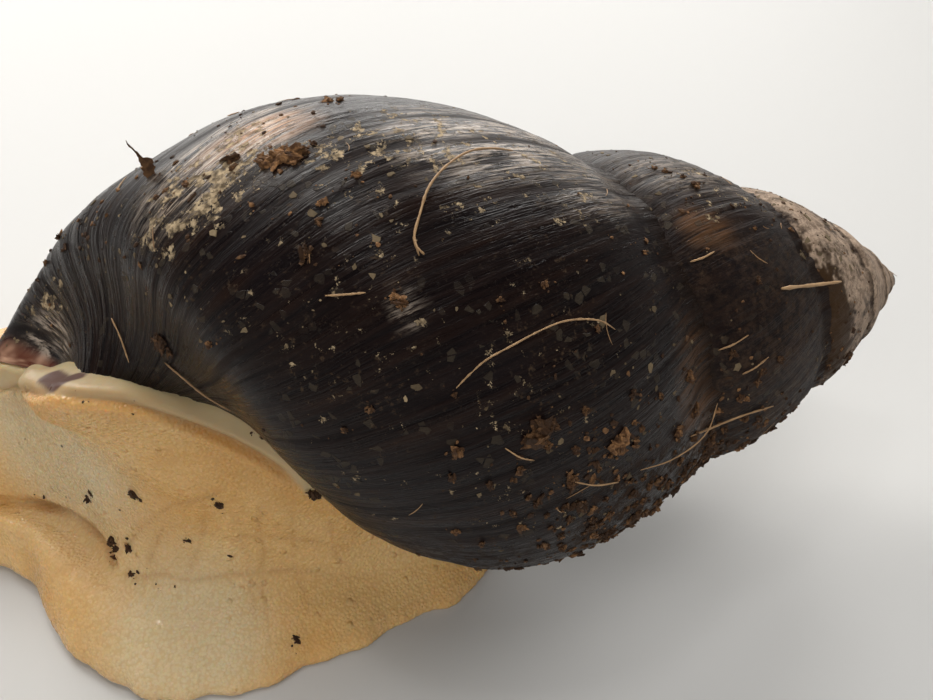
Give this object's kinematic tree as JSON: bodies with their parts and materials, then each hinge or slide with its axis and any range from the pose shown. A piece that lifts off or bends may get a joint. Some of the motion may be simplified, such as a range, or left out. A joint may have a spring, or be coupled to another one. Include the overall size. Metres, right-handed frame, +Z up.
{
  "type": "giant african land snail",
  "caption": "Life-size crawling land snail: tall dark spiral shell carried lying back over a broad pale foot, mantle collar round the mouth, long neck and raised eye stalks.",
  "frame": {"origin": "On the floor under the middle of the bounding box of the whole animal.", "axes": "+Z up; -X towards the head and +X towards the shell's apex side, along the body's length; -Y the animal's left side."},
  "size_m": [0.1698, 0.0536, 0.0592],
  "materials": {
    "shell": "dark chestnut horn-like shell, semi-gloss, growth ridges",
    "flesh": "moist granular skin, cream to orange beige",
    "mantle": "smooth moist mantle edge, greyish cream",
    "eye": "glossy dark eye spot"
  },
  "bodies": {
    "root": {"shell": "shell", "mantle": "mantle", "neck": "flesh", "trunk": "flesh", "tail": "flesh", "foot_middle": "flesh", "foot_front": "flesh", "head": "flesh", "eye_stalk_left": "flesh", "eye_stalk_right": "flesh", "feeler_left": "flesh", "feeler_right": "flesh", "lip_left": "flesh", "lip_right": "flesh", "eye_left": "eye", "eye_right": "eye"}
  },
  "joints": []
}
